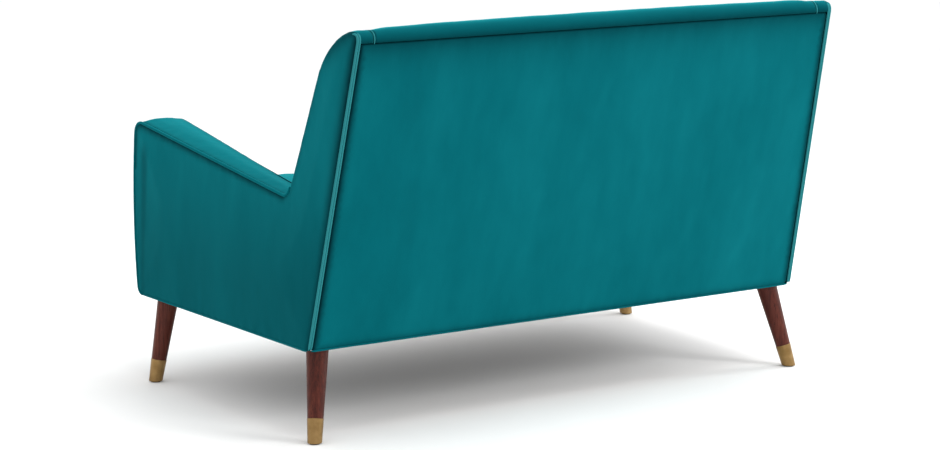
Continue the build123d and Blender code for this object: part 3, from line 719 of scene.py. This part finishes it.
def top_bands():
    """The roll along the top of the back, with a short cross seam near each end."""
    end_y = back_front_y(BAND_FRONT_Z)
    path = part_of(OUTLINE, (rear_y(SEAM_Z), SEAM_Z), (end_y, BAND_FRONT_Z), 2 * MM)
    # The roll gets painted shade in a band along its rear seam, under its crest.
    look = dict(reach=0.05, roll=5 * MM, sway=2.2 * MM,
                shade=lambda u, x, distance: 0.85 * np.exp(-u / 0.019))
    length = np.linalg.norm(np.diff(path, axis=0), axis=1).sum()

    def swell(u, x):
        """The roll stands a little higher in the middle of the sofa."""
        over = np.sin(np.clip(u / length, 0, 1) * math.pi)
        return 5 * MM * (1 - (x / 0.60) ** 2) * over

    def seam_x(y, z, outside=0.0):
        """The cross seam's x, or a little further out."""
        return side_x(y, z) - CROSS_SEAM + outside

    middle = bent_band("top_band", path, lambda y, z: -seam_x(y, z, -0.5 * MM),
                       lambda y, z: seam_x(y, z, -0.5 * MM), 1, -1, (5 * MM, 10 * MM),
                       crown=4 * MM, pucker=1.0 * MM, seed=11, shape=swell, **look)
    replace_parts(dress(middle, "velvet_top"), "back_top_band", "inside_back_foam")
    for label, sign in SIDES:
        end = bent_band(f"top_band_end_{label}", path, lambda y, z: seam_x(y, z, 0.5 * MM),
                        lambda y, z: side_x(y, z) - EDGE, sign, -1, (5 * MM, 6 * MM),
                        crown=3 * MM, pucker=2.2 * MM, seed=13 + sign, **look)
        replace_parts(dress(end, "velvet_top"), "back_top_band")
        seam = np.array([(seam_x(y, z) * sign, y, z - 0.5 * MM) for y, z in path[::2]])
        dress(tube(f"top_cross_seam_{label}", seam, 1.5 * MM, seed=17), "piping_velvet")


def back_panel():
    """The outside back, one wide panel between the welts."""
    bottom = BOTTOM_Z + 1.5 * MM
    top = SEAM_Z - 0.5 * MM

    def edge(z):
        return side_x(rear_y(z), z) - WELT_PAIR

    corners = [(-edge(bottom), bottom, 0.004), (edge(bottom), bottom, 0.004),
               (edge(top), top, 0.004), (-edge(top), top, 0.004)]
    loop = resample(rounded(corners), 5 * MM, closed=True)
    lean = math.hypot(1, REAR_RAKE)

    def place(x, z, h):
        return np.stack([x, rear_y(z) + h / lean, z - h * REAR_RAKE / lean], axis=1)

    def hollow(x, z, distance):
        """Shadow beside the welts and under the top seam."""
        beside_welt = 0.95 * np.exp(-((edge(z) - np.abs(x)) / 0.012) ** 2)
        return np.maximum(beside_welt, 0.70 * np.exp(-(top - z) / 0.034))

    piece = panel("back_panel", loop, place, (9.5 * MM, 9.5 * MM), crown=5 * MM, reach=0.16,
                  roll=5.5 * MM, pucker=1.6 * MM, sway=3.0 * MM, seed=21, shade=hollow)
    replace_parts(dress(piece, "velvet_back"), "outside_back_cover", "outside_back_wadding")


def inside_back():
    """Two stuffed halves of the inside back, spreading over the arm tops, with a welt between."""
    lean = math.hypot(1, BACK_FRONT_RAKE)
    low, high = DECK_Z + 4 * MM, BAND_FRONT_Z - 1 * MM
    arm_top = NOTCH[1] + 12 * MM
    wing_low = arm_top + 10 * MM
    half_gap = 3 * MM

    def arm_edge(z):
        return inner_x(back_front_y(z)) - 1.5 * MM

    def wing_edge(z):
        return side_x(back_front_y(z), z) - 2 * MM

    corners = [(half_gap, low, 0.006), (arm_edge(low), low, 0.006), (arm_edge(arm_top), arm_top, 0.0),
               (wing_edge(wing_low), wing_low, 0.006), (wing_edge(high), high, 0.006),
               (half_gap, high, 0.006)]
    loop = resample(rounded(corners), 5 * MM, closed=True)

    def place(x, z, h):
        return np.stack([x, back_front_y(z) - h / lean, z + h * BACK_FRONT_RAKE / lean], axis=1)

    for label, sign in SIDES:
        piece = panel(f"inside_back_{label}", loop, mirrored(place, sign), (9.5 * MM, 9.5 * MM),
                      crown=27 * MM, reach=0.15, roll=5 * MM, pucker=1.6 * MM, sway=3 * MM, seed=24 + sign)
        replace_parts(dress(piece, "velvet"), "inside_back_cover", f"inside_back_pad_{label}")
    steps = 110
    rise = np.linspace(low + 6 * MM, high - 4 * MM, steps)
    path = place(np.zeros(steps), rise, np.full(steps, 1.0 * MM))
    dress(tube("inside_back_welt", path, LIP, seed=4), "piping_velvet")


def inside_arms():
    """The inner face of each arm, from the deck up to the band."""
    low, shelf, tuck = BOTTOM_Z + 6 * MM, DECK_Z - 8 * MM, 14 * MM
    corners = [(-0.4335, low, 0.003), (-0.405, low, 0.0), (-0.400, shelf, 0.0),
               (back_front_y(shelf) + tuck, shelf, 0.0), (NOTCH[0] + tuck, NOTCH[1] - 4 * MM, 0.0),
               (-0.452, ARM_FRONT[1] - 8 * MM, 0.018), (-0.4595, 0.45, 0.0), (-0.4525, DECK_Z, 0.0)]
    loop = resample(rounded(corners), 5 * MM, closed=True)

    def place(y, z, h):
        return np.stack([inner_x(y) - h, y, z], axis=1)

    for label, sign in SIDES:
        piece = panel(f"inside_arm_{label}", loop, mirrored(place, sign), (9 * MM, 9 * MM),
                      crown=2.0 * MM, reach=0.06, roll=4 * MM, pucker=0.8 * MM, sway=0.6 * MM,
                      seed=31 + sign)
        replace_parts(dress(piece, "velvet"), f"inside_arm_cover_{label}", "arm_foam")


def apron():
    """The cover over the front rail, turned back over its top edge and under its bottom edge."""
    low, high = BOTTOM_Z + 1 * MM, DECK_Z - 2 * MM
    tuck = 4.5 * MM
    corners = [(-0.430, low, 0), (-0.4405, low, 0.004), (-0.4565, high, 0.012), (-0.402, high, 0)]
    path = resample(rounded(corners, closed=False), 2 * MM)
    piece = bent_band("apron", path, lambda y, z: -(inner_x(y) + tuck), lambda y, z: inner_x(y) + tuck,
                      1, 1, (5 * MM, 9 * MM), crown=1.5 * MM, reach=0.05, roll=4 * MM,
                      pucker=1.0 * MM, sway=1.0 * MM, seed=41)
    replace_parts(dress(piece, "velvet"), "apron_cover", "apron_padding")


def deck():
    """The plain lining panel under the loose cushions."""
    front, rear = DECK_FRONT_Y, back_front_y(DECK_Z) + 4 * MM
    corners = [(-inner_x(front), front, 0.003), (inner_x(front), front, 0.003),
               (inner_x(rear), rear, 0.003), (-inner_x(rear), rear, 0.003)]
    loop = resample(rounded(corners), 6 * MM, closed=True)

    def place(x, y, h):
        return np.stack([x, y, DECK_Z - 2 * MM + h], axis=1)

    piece = panel("deck_panel", loop, place, (14 * MM, 14 * MM), crown=0.8 * MM, reach=0.08,
                  roll=1.5 * MM, pucker=0.3 * MM, sway=0.3 * MM, seed=51, thick=1.2 * MM)
    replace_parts(dress(piece, "lining"), "deck_cover")


# ---- rolled seams -----------------------------------------------------------------------------
def on_side(path, inset):
    """Points on the side face at the (y, z) of a path, moved in by inset."""
    return np.array([(side_x(y, z) - inset, y, z) for y, z in path])


def rear_welts():
    """Names and paths of the two welts; each sinks into the crest over its last few points."""
    start = (REAR_BOTTOM_Y + 1 * MM, BOTTOM_Z + 5 * MM)
    crest_end = (0.438, 0.872)
    level = part_of(inset_loop(OUTLINE, 0.6 * MM), start, crest_end, 4 * MM)
    sunk = part_of(inset_loop(OUTLINE, 7 * MM), start, crest_end, 4 * MM)
    along, sunk_along = np.linspace(0, 1, len(level)), np.linspace(0, 1, len(sunk))
    sunk = np.stack([np.interp(along, sunk_along, sunk[:, i]) for i in (0, 1)], axis=1)
    last = 7
    fade = smooth((np.arange(len(level)) - len(level) + last) / last)[:, None]
    path = level + (sunk - level) * fade
    return [(f"rear_welt_{row}", on_side(path, inset)) for row, inset in WELT_ROWS]


def seam_rolls():
    """The rolled lips on the arm and hem seams and the pair of welts down each rear corner."""
    inner = inset_loop(OUTLINE, LIP * 0.55)
    arm_top_rear, under_front = (0.214, 0.530), (-0.415, 0.1925)
    low_front, rear_bottom = (-0.441, 0.215), (0.296, 0.194)
    arm_seam = part_of(inner, arm_top_rear, under_front, 4 * MM)
    hem = part_of(inner, low_front, rear_bottom, 4 * MM)
    rolls = [("arm_lip", on_side(arm_seam, 1.2 * MM), LIP, "velvet_arm"),
             ("side_hem", on_side(hem, 2.5 * MM), HEM, "velvet_arm")]
    rolls += [(name, path, WELT, "piping_velvet") for name, path in rear_welts()]
    for label, sign in SIDES:
        for index, (name, path, radius, finish) in enumerate(rolls):
            piece = dress(tube(f"{name}_{label}", path * (sign, 1, 1), radius, seed=61 + index), finish)
            if name.startswith("rear_welt"):
                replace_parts(piece, "rear_welts")
    z = BOTTOM_Z + 2.2 * MM
    reach = side_x(rear_y(z), z) - 9 * MM
    steps = 300
    across = np.linspace(-reach, reach, steps)
    hem_path = np.stack([across, np.full(steps, rear_y(z) - 1.8 * MM), np.full(steps, z)], axis=1)
    dress(tube("back_hem", hem_path, HEM, seed=71), "velvet_arm")


# ---- loose seat cushions ----------------------------------------------------------------------
def cushion_loop():
    """Plan of one cushion's seam: square to the middle, tapered to the arm."""
    inner = 1.5 * MM + PIPING           # from the middle of the sofa to the seam
    clear = 3 * MM + PIPING             # from the arm's nominal face to the seam
    front, rear = CUSHION_FRONT + PIPING, CUSHION_REAR - PIPING
    corners = [(inner, front, CORNER), (inner_x(front) - clear, front, CORNER),
               (inner_x(rear) - clear, rear, CORNER), (inner, rear, CORNER)]
    return resample(rounded(corners), 12 * MM, closed=True)


def cushion_shell():
    """Top, boxing and bottom as one closed mesh, and the vertices on its two seams."""
    loop = cushion_loop()
    points, faces, distance = fill_loop(loop, (13 * MM, 13 * MM), rings=())
    seam = np.where(distance == 0)[0]
    top_z, low_z = CUSHION_TOP - PIPING, CUSHION_BOTTOM + PIPING
    crown = 5 * MM * smooth(distance / 0.16)
    a, b, c = (points[i] for i in faces[0])
    if np.cross(b - a, c - a) < 0:
        faces = [f[::-1] for f in faces]
    count = len(points)
    top = np.column_stack([points, top_z + crown])
    low = np.column_stack([points, np.full(count, low_z)])
    verts = [top, low]
    rows = 10
    ring = {int(i): k for k, i in enumerate(seam)}
    for row in range(1, rows):
        level = top_z + (low_z - top_z) * row / rows
        verts.append(np.column_stack([points[seam], np.full(len(seam), level)]))

    def at(row, vertex):
        """Index of the point below a seam vertex, row by row down the boxing."""
        if row == 0:
            return vertex
        if row == rows:
            return vertex + count
        return 2 * count + (row - 1) * len(seam) + ring[vertex]

    shell = list(faces) + [[i + count for i in f[::-1]] for f in faces]
    for a, b in boundary_edges(faces):
        shell += [[at(r, b), at(r, a), at(r + 1, a), at(r + 1, b)] for r in range(rows)]
    pinned = [int(i) for i in seam] + [int(i) + count for i in seam]
    return np.vstack(verts), shell, pinned


def inflate(cushion, pinned):
    """Cloth under pressure, held at the two piped seams, so the panels belly out and pucker."""
    group = cushion.vertex_groups.new(name="seams")
    group.add(pinned, 1.0, "REPLACE")
    cloth = cushion.modifiers.new("Cloth", "CLOTH")
    cloth.settings.vertex_group_mass = "seams"
    cloth.settings.quality = 6
    cloth.settings.mass = 0.35
    cloth.settings.tension_stiffness = 14
    cloth.settings.compression_stiffness = 14
    cloth.settings.shear_stiffness = 6
    cloth.settings.bending_stiffness = 0.6
    cloth.settings.use_pressure = True
    cloth.settings.uniform_pressure_force = 4.0
    cloth.settings.shrink_min = -0.018
    cloth.settings.effector_weights.gravity = 0.0
    cloth.collision_settings.use_collision = False
    for frame_number in range(1, FILLING_FRAMES + 1):
        bpy.context.scene.frame_set(frame_number)
    shown = cushion.evaluated_get(bpy.context.evaluated_depsgraph_get())
    moved = np.array([tuple(v.co) for v in shown.data.vertices])
    cushion.modifiers.remove(cloth)
    cushion.vertex_groups.remove(group)
    bpy.context.scene.frame_set(1)
    return moved


def settle(rest, moved, sign):
    """Caps how far the cloth travelled and stops it at the deck, at the arm and short of the middle."""
    travel = moved - rest
    length = np.linalg.norm(travel, axis=1)
    travel *= np.minimum(1, CUSHION_TRAVEL / np.maximum(length, 1e-9))[:, None]
    spot = rest + travel
    arm = inner_x(spot[:, 1]) - ARM_GAP
    across = np.clip(spot[:, 0] * sign, MIDDLE_GAP, arm)
    spot[:, 0] = across * sign
    spot[:, 2] = np.maximum(spot[:, 2], CUSHION_BOTTOM - 0.3 * MM)
    spot[:, 1] = np.minimum(spot[:, 1], CUSHION_REAR + 1 * MM)
    return spot


def seam_path(level, sign):
    """A cushion's piping, just outside its seam, at one height."""
    loop = resample(np.vstack([cushion_loop(), cushion_loop()[:1]]), 5 * MM)[:-1]
    loop = inset_loop(loop, -0.6 * PIPING)
    return np.array([(x * sign, y, level) for x, y in loop])


def seat_cushions():
    """The two loose cushions, each riding with its piping on its own body."""
    for label, sign in SIDES:
        body = f"seat_cushion_{label}"
        verts, faces, pinned = cushion_shell()
        verts = verts * (sign, 1, 1)
        on_top = verts[:, 2] > CUSHION_TOP - PIPING + 1 * MM
        verts[:, 2] += 1.2 * MM * ripple(verts, 9, 80 + sign) * on_top
        if sign < 0:
            faces = [f[::-1] for f in faces]
        # Painted shade along the cushion's two seams, kept in its "seam" attribute.
        held = np.zeros(len(verts))
        held[pinned] = 1.0
        cushion = make_object(body, verts, faces, held)
        spot = settle(verts, inflate(cushion, pinned), sign)
        cushion.data.vertices.foreach_set("co", spot.astype(np.float32).ravel())
        cushion.data.update()
        smoothing = cushion.modifiers.new("Subdivision", "SUBSURF")
        smoothing.levels = smoothing.render_levels = 1
        dress(cushion, "velvet", body)
        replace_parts(cushion, f"cushion_cover_{label}", f"cushion_core_{label}")
        for end, level in (("top", CUSHION_TOP - PIPING), ("bottom", CUSHION_BOTTOM + PIPING)):
            piping = tube(f"cushion_piping_{end}_{label}", seam_path(level, sign), PIPING,
                          seed=90 + sign, closed=True)
            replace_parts(dress(piping, "piping_velvet", body), f"cushion_piping_{label}")


# ---- studio -----------------------------------------------------------------------------------
LIGHTS = (                              # name, place, aim, size, watts
    ("overhead", (-0.4, 0.2, 3.4), (0, 0, 0.4), (2.4, 2.4), 60),
    ("key", (-2.8, 4.0, 2.8), (-0.3, 0.4, 0.6), (1.6, 1.6), 100),
    ("rim", (-3.6, 0.6, 1.6), (-0.5, 0.3, 0.6), (0.8, 2.0), 40),
)
SURROUND = 1.12                         # strength of the white surround
FLOOR_DARK, FLOOR_LIGHT = (0.89, 0.89, 0.885), (0.91, 0.91, 0.905)
FLOOR_SIZE = 60
AZIMUTH, ELEVATION = math.radians(146.66), math.radians(10.18)
DISTANCE = 5.997
TARGET = Vector((0, -0.072, 0.3413))
LENS, SENSOR = 99.09, 36.0              # millimetres


def area_light(name, spot, aim, size, power):
    lamp = bpy.data.lights.new(name, "AREA")
    lamp.shape = "RECTANGLE"
    lamp.size, lamp.size_y = size
    lamp.energy = power
    obj = bpy.data.objects.new(name, lamp)
    obj.location = spot
    obj.rotation_euler = (Vector(aim) - Vector(spot)).to_track_quat("-Z", "Y").to_euler()
    bpy.context.scene.collection.objects.link(obj)


def studio():
    """Pale floor that runs into a pale surround, and broad soft lights."""
    bpy.ops.mesh.primitive_plane_add(size=FLOOR_SIZE, location=(0, 0, 0))
    floor = bpy.context.object
    floor.name = "floor"
    s = Shader("floor")
    grain = s.noise(3, detail=2)
    s.rough(grain, 0.7, 0.85)
    floor.data.materials.append(s.done(s.ramp(grain, [(0.3, FLOOR_DARK), (0.7, FLOOR_LIGHT)])))
    world = bpy.data.worlds.new("studio")
    world.use_nodes = True
    background = world.node_tree.nodes["Background"]
    background.inputs["Color"].default_value = (1, 1, 1, 1)
    background.inputs["Strength"].default_value = SURROUND
    bpy.context.scene.world = world
    for light in LIGHTS:
        area_light(*light)
    bpy.context.scene.view_settings.view_transform = "Standard"


def camera():
    """Three-quarter view from behind, on the sitter's left."""
    away = Vector((math.sin(AZIMUTH) * math.cos(ELEVATION), -math.cos(AZIMUTH) * math.cos(ELEVATION),
                   math.sin(ELEVATION)))
    lens = bpy.data.cameras.new("camera")
    lens.lens = LENS
    lens.sensor_width = SENSOR
    lens.sensor_fit = "HORIZONTAL"
    eye = bpy.data.objects.new("camera", lens)
    eye.location = TARGET + DISTANCE * away
    eye.rotation_euler = (-away).to_track_quat("-Z", "Y").to_euler()
    bpy.context.scene.collection.objects.link(eye)
    bpy.context.scene.camera = eye


side_panels()
arm_bands()
top_bands()
back_panel()
inside_back()
inside_arms()
apron()
deck()
seam_rolls()
seat_cushions()
dress_cad_nodes()
studio()
camera()
